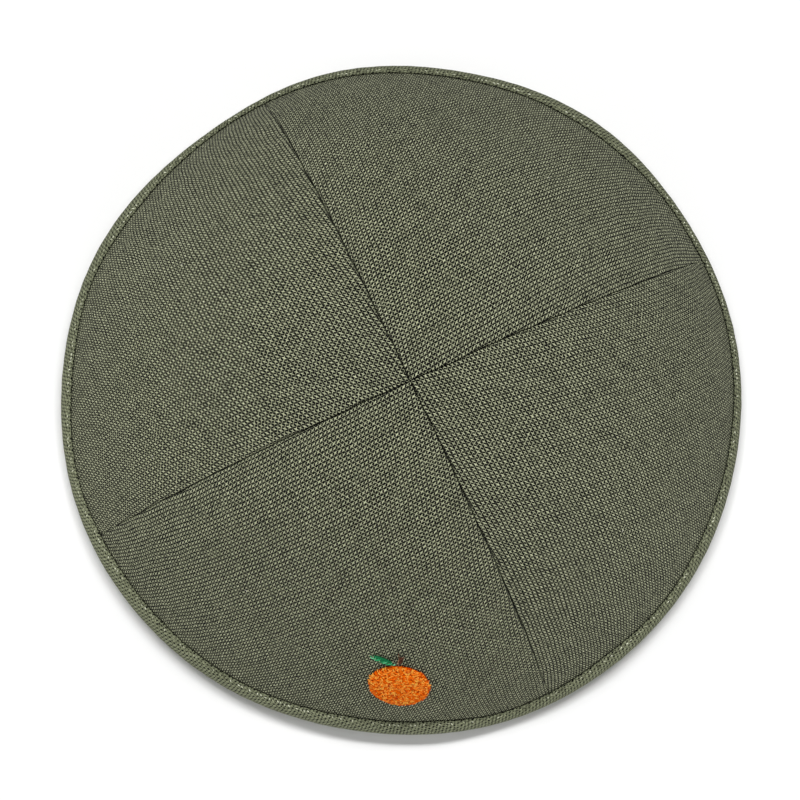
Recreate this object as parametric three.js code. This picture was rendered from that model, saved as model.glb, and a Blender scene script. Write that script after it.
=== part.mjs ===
// A skullcap of four linen gores with a bound edge and a small embroidered orange.
// Millimetres. +Z is up, the cap rests on its edge at z = 0, and the embroidery is on the -Y side.
import * as THREE from "three";
import { mergeVertices } from "three/addons/utils/BufferGeometryUtils.js";

// Driving dimensions of the cap
const RIM_RADIUS = 85.5; // to the outside of the bound edge
const CROWN_HEIGHT = 60.7; // from the surface it rests on to the top of the cloth
const CLOTH_THICKNESS = 1.4;
const SEAM_GAP = 0.3; // between the edges of two gores at their seam
const FIT_GAP = 0.3; // between two pieces that lie on each other

// Driving dimensions of the binding
const BINDING_WIDTH = 5.6; // along the cloth, from the edge up to its stitched border
const BINDING_THICKNESS = 1;
const BINDING_PROUD = 0.5; // how far its stitched border stands out from the gores
const TUCK_LENGTH = 3; // over which the gores dip to pass under the binding

// Driving dimensions of the embroidery. Heights above the edge run along the cloth.
const FRUIT_WIDTH = 14.8;
const FRUIT_HEIGHT = 16.6;
const FRUIT_TILT = 22; // degrees
const FRUIT_AZIMUTH = 268.7; // degrees
const FRUIT_ABOVE_EDGE = 27.5;
const LEAF_LENGTH = 7;
const LEAF_WIDTH = 2.2;
const LEAF_TILT = 156; // degrees
const STEM_LENGTH = 4;
const STEM_WIDTH = 1.4;
const STEM_TILT = 80; // degrees
const STITCH_GAP = 0.4; // between the fruit, the leaf and the stem
const PAD_EDGE = 0.4; // thickness of the stitching at its outline
const PAD_CROWN = 1; // thickness of the stitching in its middle

// How finely the surfaces are divided
const GORE_ROWS = 15;
const GORE_COLUMNS = 16;
const TUCK_ROWS = 2;
const BINDING_ROWS = 3;
const RIM_STEPS = 96;
const PAD_RINGS = 3;
const FRUIT_SIDES = 28;
const LEAF_SIDES = 16;
const STEM_SIDES = 10;
const SAME_POINT = 1e-4; // corners closer than this are one

// The crown's outline from its top down to the edge, as shares of the rim's radius and the crown's height
const CROWN_OUTLINE = [
  { radius: 0, height: 1 },
  { radius: 0.13, height: 0.989 },
  { radius: 0.258, height: 0.954 },
  { radius: 0.381, height: 0.897 },
  { radius: 0.498, height: 0.816 },
  { radius: 0.606, height: 0.715 },
  { radius: 0.706, height: 0.598 },
  { radius: 0.796, height: 0.466 },
  { radius: 0.877, height: 0.322 },
  { radius: 0.945, height: 0.166 },
  { radius: 1, height: 0 },
];

// How the limp edge wanders from a true circle: waves round it, each so many lobes that stand out by a
// share of the rim's radius, the first of them at an azimuth in degrees
const RIM_WAVES = [
  { lobes: 2, out: 0.009, azimuth: 11 },
  { lobes: 3, out: 0.006, azimuth: 72 },
  { lobes: 5, out: 0.0015, azimuth: 14 },
  { lobes: 6, out: 0.002, azimuth: 45 },
  { lobes: 7, out: 0.002, azimuth: 2 },
  { lobes: 8, out: 0.0025, azimuth: 14 },
];

// The four seams in degrees of azimuth, each with the gore that lies next to it anticlockwise
const SEAMS = [
  { azimuth: 24.7, gore: "panel_back" },
  { azimuth: 115.1, gore: "panel_left" },
  { azimuth: 204.5, gore: "panel_front" },
  { azimuth: 296, gore: "panel_right" },
];

const { degToRad: radians, radToDeg: degrees, clamp, smoothstep } = THREE.MathUtils;

// The crown's meridian in its own plane, x out from the axis and y up. It runs over the top from
// edge to edge, so that it is level at the top, and the half with x above 0 is the one in use.
const halfOutline = CROWN_OUTLINE.map(
  ({ radius, height }) =>
    new THREE.Vector2(radius * RIM_RADIUS, height * CROWN_HEIGHT),
);
const farOutline = halfOutline
  .slice(1)
  .reverse()
  .map(({ x, y }) => new THREE.Vector2(-x, y));
const meridian = new THREE.SplineCurve([...farOutline, ...halfOutline]);
meridian.arcLengthDivisions = 2000;
const MERIDIAN_LENGTH = meridian.getLength() / 2; // from the top to the edge

// The share by which the cap lies out of round at an azimuth in degrees. It dies away up the crown.
function waver(azimuth, share) {
  const wave = ({ lobes, out, azimuth: first }) =>
    out * Math.cos(lobes * radians(azimuth - first));
  return RIM_WAVES.map(wave).reduce((sum, out) => sum + out) * share ** 4;
}

// The radius and height of a point that lies lift mm outside the meridian, at a share of its length
function sectionPoint(share, lift) {
  const turn = 0.5 + clamp(share, 0, 1) / 2;
  const point = meridian.getPointAt(turn);
  const along = meridian.getTangentAt(turn);
  return point.add(new THREE.Vector2(-along.y, along.x).multiplyScalar(lift));
}

// A point of the cap's cloth: azimuth in degrees, share of the way from the top to the edge, lift in mm
function crownPoint(azimuth, share, lift) {
  const { x: radius, y: height } = sectionPoint(share, lift);
  const out = radius * (1 + waver(azimuth, share));
  const turn = radians(azimuth);
  return new THREE.Vector3(out * Math.cos(turn), out * Math.sin(turn), height);
}

// The share at which a surface comes down to a height, given its lift in mm as a function of share
function shareAtHeight(height, liftAt) {
  let above = 0;
  let below = 1;
  while (below - above > 1e-9) {
    const middle = (above + below) / 2;
    if (sectionPoint(middle, liftAt(middle)).y > height) above = middle;
    else below = middle;
  }
  return below;
}

// Sizes and shares that the gores and the binding have in common
const BORDER_SHARE = 1 - BINDING_WIDTH / MERIDIAN_LENGTH; // the binding's stitched border
const TUCK_SHARE = BORDER_SHARE - TUCK_LENGTH / MERIDIAN_LENGTH;
const CLOTH_DEPTH = BINDING_THICKNESS + FIT_GAP; // from the binding's outer face to the gores
const INNER_LEG_DEPTH = CLOTH_DEPTH + CLOTH_THICKNESS + FIT_GAP; // and to the binding's inner leg

// How far the binding's outer face stands out from the meridian: it rolls in towards the edge
function bindingLift(share) {
  const down = clamp((share - BORDER_SHARE) / (1 - BORDER_SHARE), 0, 1);
  return BINDING_PROUD * Math.cos((down * Math.PI) / 2);
}

// How far a gore's outer face lies from the meridian: level with it, but sunk under the binding
function clothLift(share) {
  const tucked = smoothstep(share, TUCK_SHARE, BORDER_SHARE);
  return tucked * (bindingLift(share) - CLOTH_DEPTH);
}

// Evenly spaced values from one number to another, both included
const steps = (from, to, count) =>
  Array.from({ length: count + 1 }, (_, i) => from + ((to - from) * i) / count);

// A closed mesh's geometry from triangles of corners that face out
function solid(triangles) {
  const corners = triangles.flat().flatMap(({ x, y, z }) => [x, y, z]);
  const loose = new THREE.BufferGeometry();
  loose.setAttribute("position", new THREE.Float32BufferAttribute(corners, 3));
  const geometry = mergeVertices(loose, SAME_POINT);
  geometry.computeVertexNormals();
  return geometry;
}

// Two triangles for four corners that run anticlockwise seen from outside, fewer where corners coincide
function quad(a, b, c, d) {
  const faces = [
    [a, b, c],
    [a, c, d],
  ];
  const apart = (p, q) => p.distanceTo(q) > SAME_POINT;
  return faces.filter(([p, q, r]) => apart(p, q) && apart(q, r) && apart(r, p));
}

// Triangles of a grid of corners whose rows run down and whose columns run anticlockwise seen from outside
function sheet(rows) {
  return rows
    .slice(1)
    .flatMap((row, i) =>
      row
        .slice(1)
        .flatMap((corner, j) => quad(rows[i][j], row[j], corner, rows[i][j + 1])),
    );
}

// Triangles turned to face the other way
const reversed = (triangles) => triangles.map(([a, b, c]) => [a, c, b]);

// One face of a gore between two azimuths, as rows of points that lie depth mm inside its outer face
function goreFace(from, to, depth) {
  const setback = SEAM_GAP / 2;
  const tipRadius = setback / Math.sin(radians((to - from) / 2));
  const edgeShare = shareAtHeight(CLOTH_DEPTH, (share) => clothLift(share) - depth);
  const shares = [
    ...steps(tipRadius / MERIDIAN_LENGTH, TUCK_SHARE, GORE_ROWS),
    ...steps(TUCK_SHARE, BORDER_SHARE, TUCK_ROWS).slice(1),
    edgeShare,
  ];
  return shares.map((share) => {
    const radius = sectionPoint(share, 0).x;
    const side = degrees(Math.asin(clamp(setback / radius, 0, 1)));
    const half = Math.max(0, (to - from) / 2 - side);
    const middle = (from + to) / 2;
    return steps(middle - half, middle + half, GORE_COLUMNS).map((azimuth) =>
      crownPoint(azimuth, share, clothLift(share) - depth),
    );
  });
}

// One gore: a shell as thick as the cloth, from a tip at the top to a level cut edge inside the binding
function gore(from, to) {
  const outside = goreFace(from, to, 0);
  const inside = goreFace(from, to, CLOTH_THICKNESS);
  const firstSide = outside.map((row, i) => [inside[i][0], row[0]]);
  const lastSide = outside.map((row, i) => [row.at(-1), inside[i].at(-1)]);
  const cutEdge = [outside.at(-1), inside.at(-1)];
  return solid([
    ...sheet(outside),
    ...reversed(sheet(inside)),
    ...sheet(firstSide),
    ...sheet(lastSide),
    ...sheet(cutEdge),
  ]);
}

// One face of the binding's section, depth mm inside its outer face, from its border down to a height
function bindingFace(depth, height) {
  const liftAt = (share) => bindingLift(share) - depth;
  const end = shareAtHeight(height, liftAt);
  return steps(BORDER_SHARE, end, BINDING_ROWS).map((share) => ({
    share,
    lift: liftAt(share),
  }));
}

// The binding: a band folded round the cut edge, its section swept round the cap. The section runs
// down the outside, up the inside, and back through the channel that holds the gores.
function binding() {
  const section = [
    ...bindingFace(0, 0),
    ...bindingFace(INNER_LEG_DEPTH + BINDING_THICKNESS, 0).reverse(),
    ...bindingFace(INNER_LEG_DEPTH, BINDING_THICKNESS),
    ...bindingFace(BINDING_THICKNESS, BINDING_THICKNESS).reverse(),
  ];
  const azimuths = steps(0, 360, RIM_STEPS).map((azimuth) => azimuth % 360);
  const ring = ({ share, lift }) =>
    azimuths.map((azimuth) => crownPoint(azimuth, share, lift));
  return solid(sheet([...section, section[0]].map(ring)));
}

// A point over the gores at the embroidery: x and y in mm along the cloth from the fruit's middle, y up
function clothPoint({ x, y }, lift) {
  const share = 1 - (FRUIT_ABOVE_EDGE + y) / MERIDIAN_LENGTH;
  const azimuth = FRUIT_AZIMUTH + degrees(x / sectionPoint(share, 0).x);
  return crownPoint(azimuth, share, clothLift(share) + lift);
}

// A vector of a length in a direction, in degrees from the cloth's x
const polar = (length, direction) =>
  new THREE.Vector2(length, 0).rotateAround(new THREE.Vector2(), radians(direction));

// A low pad of stitching with an elliptical outline, thin at its outline and full in its middle
function pad({ centre, length, width, tilt, sides }) {
  const ring = (size, lift) =>
    steps(0, 360, sides).map((direction) => {
      const turn = radians(direction % 360);
      const along = polar((size * length * Math.cos(turn)) / 2, tilt);
      const across = polar((size * width * Math.sin(turn)) / 2, tilt + 90);
      return clothPoint(along.add(across).add(centre), FIT_GAP + lift);
    });
  const crowned = (size) =>
    PAD_EDGE + (PAD_CROWN - PAD_EDGE) * Math.sqrt(1 - size ** 2);
  const sizes = steps(0, 1, PAD_RINGS);
  const top = sizes.map((size) => ring(size, crowned(size)));
  const base = sizes.map((size) => ring(size, 0));
  return solid([
    ...sheet(top),
    ...reversed(sheet(base)),
    ...sheet([top.at(-1), base.at(-1)]),
  ]);
}

// How far a tilted ellipse reaches along a direction in degrees
function reach({ length, width, tilt }, direction) {
  const turn = radians(direction - tilt);
  return 0.5 / Math.hypot(Math.cos(turn) / length, Math.sin(turn) / width);
}

// The round fruit, the stem that stands on top of it, and the leaf that springs left from the stem's foot
const FRUIT = {
  centre: new THREE.Vector2(),
  length: FRUIT_WIDTH,
  width: FRUIT_HEIGHT,
  tilt: FRUIT_TILT,
  sides: FRUIT_SIDES,
};
const fruitTop = reach(FRUIT, 90) + STITCH_GAP;
const STEM = {
  centre: new THREE.Vector2(0, fruitTop).add(polar(STEM_LENGTH / 2, STEM_TILT)),
  length: STEM_LENGTH,
  width: STEM_WIDTH,
  tilt: STEM_TILT,
  sides: STEM_SIDES,
};
const leafFoot = new THREE.Vector2(
  -STEM_WIDTH / 2 - STITCH_GAP,
  fruitTop + LEAF_WIDTH / 5,
);
const LEAF = {
  centre: leafFoot.add(polar(LEAF_LENGTH / 2, LEAF_TILT)),
  length: LEAF_LENGTH,
  width: LEAF_WIDTH,
  tilt: LEAF_TILT,
  sides: LEAF_SIDES,
};

// Finishes: matt linen, and the brighter embroidery yarns
const linen = (color) =>
  new THREE.MeshStandardMaterial({ color, roughness: 0.95, metalness: 0 });
const yarn = (color) =>
  new THREE.MeshStandardMaterial({ color, roughness: 0.6, metalness: 0 });

// A named piece
function piece(name, geometry, material) {
  const mesh = new THREE.Mesh(geometry, material);
  mesh.name = name;
  return mesh;
}

const cap = new THREE.Group();
SEAMS.forEach(({ azimuth, gore: name }, i) => {
  const next = SEAMS[(i + 1) % SEAMS.length].azimuth;
  const turn = THREE.MathUtils.euclideanModulo(next - azimuth, 360);
  cap.add(piece(name, gore(azimuth, azimuth + turn), linen(0x626451)));
});
cap.add(
  piece("rim_binding", binding(), linen(0x5c5e4b)),
  piece("embroidered_fruit", pad(FRUIT), yarn(0xd46a19)),
  piece("embroidered_leaf", pad(LEAF), yarn(0x408154)),
  piece("embroidered_stem", pad(STEM), yarn(0x4b3526)),
);

// The origin lies under the middle of the cap's box
const middle = new THREE.Box3().setFromObject(cap).getCenter(new THREE.Vector3());
cap.position.set(-middle.x, -middle.y, 0);

export default cap;
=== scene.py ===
"""A skullcap of four linen gores with a bound edge and a small embroidered orange.

The scene is in metres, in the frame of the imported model: +Z is up, the cap rests on its edge at
z = 0, and the embroidery is on the -Y side. Sizes held by the classes are in millimetres and degrees.
"""

import logging
import math
import random
from collections.abc import Callable
from dataclasses import dataclass, field
from enum import Enum

import bpy
from mathutils import Matrix, Vector, noise


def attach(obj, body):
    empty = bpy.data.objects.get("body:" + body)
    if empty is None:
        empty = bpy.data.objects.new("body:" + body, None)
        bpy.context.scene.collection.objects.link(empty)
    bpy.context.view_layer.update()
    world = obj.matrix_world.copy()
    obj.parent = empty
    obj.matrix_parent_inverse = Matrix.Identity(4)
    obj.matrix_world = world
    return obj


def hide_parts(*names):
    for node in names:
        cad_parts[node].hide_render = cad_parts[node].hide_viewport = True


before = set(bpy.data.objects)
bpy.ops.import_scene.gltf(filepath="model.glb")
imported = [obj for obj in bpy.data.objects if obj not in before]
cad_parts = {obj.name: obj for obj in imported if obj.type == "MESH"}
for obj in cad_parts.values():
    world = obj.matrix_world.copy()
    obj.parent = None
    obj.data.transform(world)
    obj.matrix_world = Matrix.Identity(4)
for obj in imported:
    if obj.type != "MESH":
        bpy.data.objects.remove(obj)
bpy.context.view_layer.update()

MM = 0.001
GRAIN_MAP = "Grain"  # UV map of the cloth in mm, x across its warp threads and y along them
STRAND_MAP = "Strand"  # UV map of a stitch, x round the yarn and y along it
TONE = "tone"  # attribute of a stitch from 0, dark, to 1, light
BLEND = {"output": 2, "data_type": "RGBA"}  # makes a Mix node blend colours

log = logging.getLogger("skullcap")


class Body(Enum):
    """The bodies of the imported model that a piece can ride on."""

    ROOT = "root"


class Slot(Enum):
    """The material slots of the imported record."""

    PANELS = "olive_linen"
    BINDING = "binding_linen"
    FRUIT = "orange_yarn"
    LEAF = "green_yarn"
    STEM = "brown_yarn"


def linear(colour: str) -> tuple[float, float, float, float]:
    """Turns an sRGB hex colour into linear light.

    Args:
        colour: Six hex digits after a #.

    Returns:
        Red, green, blue and an alpha of 1.
    """
    shares = [int(colour[i : i + 2], 16) / 255 for i in (1, 3, 5)]
    light = [c / 12.92 if c <= 0.04045 else ((c + 0.055) / 1.055) ** 2.4 for c in shares]
    return (*light, 1.0)


def add(
    tree: bpy.types.NodeTree, kind: str, *values: object, output: int = 0,
    named: dict[str, object] | None = None, **settings: object,
) -> bpy.types.NodeSocket | None:
    """Adds one node to a tree with its settings and links.

    Args:
        tree: The tree that gets the node.
        kind: The node's type, without the words ShaderNode before it.
        values: What goes into its first inputs: a socket to link, a value to set, or None to leave one.
        output: The number of the output that is returned.
        named: What goes into inputs given by name.
        settings: The node's own properties.

    Returns:
        One of the node's outputs, or None for a node that has none.
    """
    node = tree.nodes.new("ShaderNode" + kind)
    for name, value in settings.items():
        setattr(node, name, value)
    pairs = list(zip(node.inputs, values))
    for name, value in (named or {}).items():
        pairs.append((next(s for s in node.inputs if name in (s.identifier, s.name)), value))
    for socket, value in pairs:
        if isinstance(value, bpy.types.NodeSocket):
            tree.links.new(value, socket)
        elif value is not None:
            socket.default_value = value
    return node.outputs[output] if node.outputs else None


def new_tree(name: str) -> tuple[bpy.types.Material, bpy.types.NodeTree]:
    """Makes an empty material and returns it with its node tree.

    Args:
        name: The material's name.

    Returns:
        The material and its tree.
    """
    material = bpy.data.materials.new(name)
    material.use_nodes = True
    material.node_tree.nodes.clear()
    return material, material.node_tree


@dataclass(frozen=True)
class LinenFinish:
    """Coarse plain-woven linen, dyed olive in the piece and left unpressed.

    Round matt threads cross over and under, of uneven thickness. Painted shade darkens their sides, the
    holes where four of them meet, one float in two and the closed patches, and the cap towards the back,
    low down and to the right. Lengths are in mm and scales are waves to the mm. A cover, and what is added
    to it, is a share of the threads' spacing, and a range is where a value starts and stops to count.
    """

    name: str
    thread: str = "#DEE2BC"
    shade: str = "#6C7056"
    painted_hole_shade: str = "#030301"
    nep: str = "#EEEEDC"
    warp_spacing: float = 0.6
    weft_spacing: float = 0.86
    warp_cover: float = 0.32
    weft_cover: float = 0.27
    warp_wave: tuple[float, float] = (0.69, 0.21)  # the middle height of its ups and downs, and their size
    weft_wave: tuple[float, float] = (0.6, -0.2)
    wander: float = 1.4
    wander_scale: float = 0.11
    patch_cover: float = 0.07
    patch_scale: float = 0.28
    patch_range: tuple[float, float] = (0.4, 0.66)
    hole_spread: float = 0.4
    hole_scale: float = 1.4
    crimp: float = 0.13
    painted_rib_shade: float = 0.3
    slub: float = 0.32
    slub_scale: float = 0.16  # waves to the thread crossed
    fibre_scale: float = 1.8
    tone_range: tuple[float, float] = (0.55, 1.45)
    lit_range: tuple[float, float] = (0.3, 0.7)
    nep_scale: float = 0.62
    nep_range: tuple[float, float] = (0.86, 0.9)
    relief: float = 0.22
    roughness: float = 0.93
    specular: float = 0.2
    painted_shade_depth: float = 0.28
    painted_shade_way: tuple[float, float, float] = (-350, -1000, 1200)
    painted_shade_reach: float = 60.0

    def material(self) -> bpy.types.Material:
        """Builds the woven finish on the cloth's own UV map.

        Returns:
            The finish as a material.
        """
        material, tree = new_tree(self.name)
        chart = add(tree, "UVMap", uv_map=GRAIN_MAP)
        # The threads wander a little, in waves of 1 to 9 mm
        sway = add(
            tree, "TexNoise", chart, output=1,
            named={"Scale": self.wander_scale, "Detail": 3.0, "Roughness": 0.5},
        )
        sway = add(tree, "VectorMath", sway, (0.5, 0.5, 0.5), operation="SUBTRACT")
        reach = (self.wander, self.wander, 0.0)
        sway = add(tree, "VectorMath", sway, reach, chart, operation="MULTIPLY_ADD")
        pitch = (1 / self.warp_spacing, 1 / self.weft_spacing, 0.0)
        place = add(tree, "VectorMath", sway, pitch, operation="MULTIPLY")
        cell = add(tree, "VectorMath", place, operation="FLOOR")
        x = add(tree, "SeparateXYZ", place)
        y = x.node.outputs[1]
        i = add(tree, "SeparateXYZ", cell)
        j = i.node.outputs[1]
        # Patches of 3 to 6 mm where the weave lies closed and its threads flat, with painted shade on them
        dense = add(
            tree, "TexNoise", chart, named={"Scale": self.patch_scale, "Detail": 2.0, "Roughness": 0.6}
        )
        dense = add(
            tree, "MapRange", dense, *self.patch_range, 0.0, self.patch_cover,
            interpolation_type="SMOOTHSTEP",
        )
        patch = add(tree, "Math", dense, -self.hole_spread / 2, operation="ADD")
        # Single holes are pulled open or shut
        shut = add(tree, "TexNoise", chart, named={"Scale": self.hole_scale, "Detail": 0.0})
        patch = add(tree, "Math", shut, self.hole_spread, patch, operation="MULTIPLY_ADD")
        # The crimp half shuts every other hole, and painted shade on one float in two ribs the cloth aslant
        rib = add(tree, "Math", x, y, operation="ADD")
        rib = add(tree, "Math", rib, math.pi, operation="MULTIPLY")
        rib = add(tree, "Math", rib, operation="COSINE")
        patch = add(tree, "Math", rib, -self.crimp, patch, operation="MULTIPLY_ADD")
        warp, warp_slub = self._thread(tree, x, i, y, patch, self.warp_cover, self.warp_wave)
        weft, weft_slub = self._thread(tree, y, j, x, patch, self.weft_cover, self.weft_wave)
        height = add(tree, "Math", warp, weft, operation="MAXIMUM")
        # Painted shade: one float in two is darkened along the diagonal rib
        shaded = add(tree, "Math", rib, -self.painted_rib_shade, 1.0, operation="MULTIPLY_ADD")
        shaded = add(tree, "Math", height, shaded, operation="MULTIPLY")
        over = add(tree, "Math", warp, weft, operation="GREATER_THAN")
        slub = add(tree, "Mix", over, named={"A_Float": weft_slub, "B_Float": warp_slub})
        # Tufts of fibre half a millimetre long roughen the threads, and thick or loose ones are lighter
        fibre = add(tree, "TexNoise", chart, named={"Scale": self.fibre_scale, "Detail": 2.0})
        tone = add(tree, "Math", slub, 0.6, 0.2, operation="MULTIPLY_ADD")
        tone = add(tree, "Math", tone, fibre, operation="ADD")
        # Painted shade: the threads are darkened in the closed patches
        tone = add(tree, "Math", dense, -1.2, tone, operation="MULTIPLY_ADD")
        tone = add(tree, "MapRange", tone, *self.tone_range, 0.0, 1.0)
        ends = {"A_Color": linear(self.shade), "B_Color": linear(self.thread)}
        yarn = add(tree, "Mix", tone, named=ends, **BLEND)
        # Neps, the pale knots in flax yarn
        speck = add(tree, "TexNoise", chart, named={"Scale": self.nep_scale, "Detail": 0.0})
        speck = add(tree, "MapRange", speck, *self.nep_range, 0.0, 0.7)
        yarn = add(tree, "Mix", speck, named={"A_Color": yarn, "B_Color": linear(self.nep)}, **BLEND)
        # Painted shade: the colour falls to a near-black painted shade down the threads' sides, where they
        # dive under and in the holes
        lit = add(tree, "MapRange", shaded, *self.lit_range, 0.0, 1.0, interpolation_type="SMOOTHSTEP")
        colour = add(tree, "Mix", lit, named={"A_Color": linear(self.painted_hole_shade), "B_Color": yarn}, **BLEND)
        # Painted shade: the colour is darkened towards the back, low down and to the right, along one way
        # through the cap
        where = add(tree, "TexCoord", output=3)
        shade_distance = add(tree, "VectorMath", where, self.painted_shade_way, output=1, operation="DOT_PRODUCT")
        shade_scale = add(tree, "MapRange", shade_distance, -self.painted_shade_reach, self.painted_shade_reach, 1 - self.painted_shade_depth, 1.0)
        colour = add(tree, "VectorMath", colour, operation="SCALE", named={"Scale": shade_scale})
        bump = add(tree, "Bump", named={"Strength": 0.8, "Distance": self.relief * MM, "Height": height})
        shader = add(
            tree, "BsdfPrincipled",
            named={
                "Base Color": colour, "Roughness": self.roughness, "Normal": bump,
                "Specular IOR Level": self.specular,
            },
        )
        add(tree, "OutputMaterial", shader)
        return material

    def _thread(
        self, tree: bpy.types.NodeTree, across: bpy.types.NodeSocket, number: bpy.types.NodeSocket,
        along: bpy.types.NodeSocket, patch: bpy.types.NodeSocket, cover: float, wave: tuple[float, float],
    ) -> tuple[bpy.types.NodeSocket, bpy.types.NodeSocket]:
        """Adds the nodes for one set of parallel threads.

        Args:
            tree: The material's tree.
            across: The place across the threads, in threads.
            number: The thread's whole number there.
            along: The place along the threads, in threads of the other set.
            patch: How much more closed the weave lies there.
            cover: The share of their spacing that the threads cover.
            wave: The middle height of the threads' ups and downs, and how far they go from it.

        Returns:
            The threads' height from 0, in a hole, to 1, and their uneven thickness about 0.5.
        """
        # Each thread has a stretch of the noise to itself, and each set its own part of it
        far = add(tree, "Math", number, 3.7, 100 * wave[0], operation="MULTIPLY_ADD")
        slow = add(tree, "Math", along, self.slub_scale, operation="MULTIPLY")
        spot = add(tree, "CombineXYZ", far, slow, 0.0)
        slub = add(tree, "TexNoise", spot, named={"Scale": 1.0, "Detail": 2.0, "Roughness": 0.6})
        width = add(tree, "Math", slub, self.slub, patch, operation="MULTIPLY_ADD")
        width = add(tree, "Math", width, cover - self.slub / 2, operation="ADD")
        width = add(tree, "Math", width, 0.05, operation="MAXIMUM")
        # The thread is round: its height falls from 1 in its middle to 0 at its edges
        edge = add(tree, "Math", across, number, operation="SUBTRACT")
        edge = add(tree, "Math", edge, 2.0, -1.0, operation="MULTIPLY_ADD")
        edge = add(tree, "Math", edge, width, operation="DIVIDE")
        edge = add(tree, "Math", edge, edge, operation="MULTIPLY")
        bulge = add(tree, "Math", 1.0, edge, operation="SUBTRACT")
        bulge = add(tree, "Math", bulge, 0.0, operation="MAXIMUM")
        bulge = add(tree, "Math", bulge, operation="SQRT")
        # It goes over every second thread of the other set and under the rest
        rise = add(tree, "Math", along, number, operation="ADD")
        rise = add(tree, "Math", rise, math.pi, operation="MULTIPLY")
        rise = add(tree, "Math", rise, operation="SINE")
        rise = add(tree, "Math", rise, wave[1], wave[0], operation="MULTIPLY_ADD")
        return add(tree, "Math", bulge, rise, operation="MULTIPLY"), slub


@dataclass(frozen=True)
class YarnFinish:
    """Mercerised embroidery yarn: smooth filaments twisted together, whose shine along each stitch is
    partly painted into the lighter tones, with painted shade between the strands.
    """

    name: str
    light: str
    middle: str
    dark: str
    roughness: float = 0.45
    specular: float = 0.02
    twists: float = 5.0  # to the stitch
    groove_shade: float = 0.35  # how much painted shade darkens it between the strands
    relief: float = 0.04

    def material(self) -> bpy.types.Material:
        """Builds the twisted finish on a stitch's own UV map and tone.

        Returns:
            The finish as a material.
        """
        material, tree = new_tree(self.name)
        tone = add(tree, "Attribute", output=2, attribute_name=TONE)
        low = add(tree, "MapRange", tone, 0.0, 0.5, 0.0, 1.0)
        high = add(tree, "MapRange", tone, 0.5, 1.0, 0.0, 1.0)
        dark, middle, light = linear(self.dark), linear(self.middle), linear(self.light)
        colour = add(tree, "Mix", low, named={"A_Color": dark, "B_Color": middle}, **BLEND)
        colour = add(tree, "Mix", high, named={"A_Color": colour, "B_Color": light}, **BLEND)
        strand = add(tree, "UVMap", uv_map=STRAND_MAP)
        u = add(tree, "SeparateXYZ", strand)
        turn = add(tree, "Math", u.node.outputs[1], self.twists, u, operation="MULTIPLY_ADD")
        turn = add(tree, "Math", turn, 2 * math.pi, operation="MULTIPLY")
        turn = add(tree, "Math", turn, operation="SINE")
        # Painted shade in the grooves between the twisted strands
        groove_shade = add(tree, "MapRange", turn, -1.0, -0.2, self.groove_shade, 0.0)
        colour = add(tree, "Mix", groove_shade, named={"A_Color": colour, "B_Color": dark}, **BLEND)
        bump = add(tree, "Bump", named={"Strength": 0.5, "Distance": self.relief * MM, "Height": turn})
        shader = add(
            tree, "BsdfPrincipled",
            named={
                "Base Color": colour, "Roughness": self.roughness, "Normal": bump,
                "Specular IOR Level": self.specular,
            },
        )
        add(tree, "OutputMaterial", shader)
        return material


@dataclass(frozen=True)
class BoardFinish:
    """White studio card, matt and seamless."""

    name: str = "studio_card"
    colour: str = "#F2F2F2"

    def material(self) -> bpy.types.Material:
        """Builds the plain card, a little cloudy in its roughness.

        Returns:
            The finish as a material.
        """
        material, tree = new_tree(self.name)
        where = add(tree, "TexCoord", output=3)
        cloud = add(tree, "TexNoise", where, named={"Scale": 8.0})
        rough = add(tree, "MapRange", cloud, 0.0, 1.0, 0.85, 0.95)
        shader = add(tree, "BsdfPrincipled", named={"Base Color": linear(self.colour), "Roughness": rough})
        add(tree, "OutputMaterial", shader)
        return material


def deselect() -> None:
    """Leaves edit mode and selects nothing."""
    if bpy.context.mode != "OBJECT":
        bpy.ops.object.mode_set(mode="OBJECT")
    bpy.ops.object.select_all(action="DESELECT")


def activate(piece: bpy.types.Object) -> None:
    """Makes one object the only selected and the active one.

    Args:
        piece: The object.
    """
    deselect()
    piece.select_set(True)
    bpy.context.view_layer.objects.active = piece


def close_surface(piece: bpy.types.Object, smooth_angle: float = 60.0) -> None:
    """Joins corners that coincide, turns all faces outwards and shades them smooth.

    Args:
        piece: The mesh object.
        smooth_angle: Edges sharper than this, in degrees, stay sharp.
    """
    activate(piece)
    bpy.ops.object.mode_set(mode="EDIT")
    bpy.ops.mesh.select_all(action="SELECT")
    bpy.ops.mesh.remove_doubles(threshold=0.002 * MM)
    bpy.ops.mesh.normals_make_consistent(inside=False)
    bpy.ops.object.mode_set(mode="OBJECT")
    bpy.ops.object.shade_smooth_by_angle(angle=math.radians(smooth_angle))


def shaped_grid(
    name: str, columns: int, rows: int, place: Callable[[int, int], Vector],
    chart: Callable[[int, int], tuple[float, float]], chart_name: str = GRAIN_MAP,
) -> bpy.types.Object:
    """Adds a flat grid and lays it onto a surface, corner by corner.

    Args:
        name: The piece's name.
        columns: How many corners it has along each row.
        rows: How many rows of corners it has.
        place: Gives a corner's place in metres from its column and row.
        chart: Gives a corner's place on the UV map from its column and row.
        chart_name: The UV map's name.

    Returns:
        The closed piece, with corners that coincide joined.
    """
    deselect()
    bpy.ops.mesh.primitive_grid_add(x_subdivisions=columns - 1, y_subdivisions=rows - 1, size=1)
    piece = bpy.context.object
    piece.name = piece.data.name = name
    mesh = piece.data
    spots = [
        (round((v.co.x + 0.5) * (columns - 1)), round((v.co.y + 0.5) * (rows - 1))) for v in mesh.vertices
    ]
    mesh.vertices.foreach_set("co", [c for spot in spots for c in place(*spot)])
    while mesh.uv_layers:
        mesh.uv_layers.remove(mesh.uv_layers[0])
    layer = mesh.uv_layers.new(name=chart_name)
    charted = [chart(*spot) for spot in spots]
    layer.data.foreach_set("uv", [c for loop in mesh.loops for c in charted[loop.vertex_index]])
    mesh.update()
    close_surface(piece)
    return piece


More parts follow.
